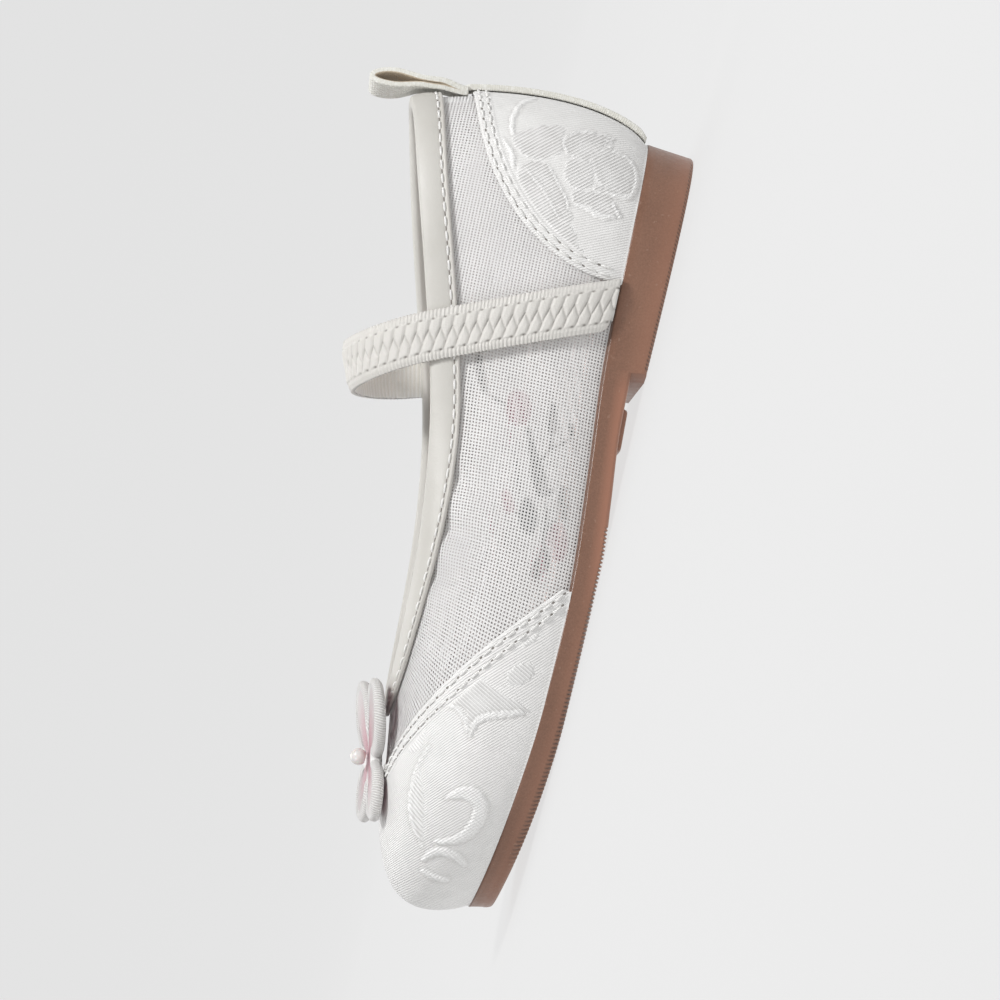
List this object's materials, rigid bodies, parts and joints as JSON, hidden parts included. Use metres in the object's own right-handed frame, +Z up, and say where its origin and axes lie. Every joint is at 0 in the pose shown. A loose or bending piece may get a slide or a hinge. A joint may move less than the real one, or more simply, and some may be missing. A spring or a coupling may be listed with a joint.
{
  "type": "mesh mary jane shoe",
  "caption": "Child's left mary jane: see-through white mesh upper, jacquard toe cap and heel counter, bound collar, elastic instep strap, butterfly trim, brown rubber sole with a low heel.",
  "frame": {"origin": "on the floor, under the middle of the shoe's box", "axes": "+X from heel to toe, +Y to the outer side of the left foot, +Z up"},
  "size_m": [0.1852, 0.0696, 0.0751],
  "materials": {
    "gum_rubber": "satin, slightly translucent brown gum rubber",
    "insole_cloth": "plain pale cloth",
    "white_mesh": "fine open mesh",
    "white_jacquard": "satin jacquard with raised tone on tone embroidery",
    "white_binding": "smooth satin synthetic leather",
    "white_elastic": "smocked elastic, soft sheen",
    "cream_tape": "ribbed woven tape",
    "pink_thread": "satin stitch embroidery with a white rim",
    "pearl_white": "pearl lustre"
  },
  "bodies": {
    "root": {"outsole": "gum_rubber", "insole": "insole_cloth", "upper": "white_mesh", "toe_cap": "white_jacquard", "heel_counter": "white_jacquard", "collar_binding": "white_binding", "back_seam_tape": "cream_tape", "pull_loop": "cream_tape", "strap": "white_elastic", "butterfly": "pink_thread", "pearl": "pearl_white"}
  },
  "joints": []
}
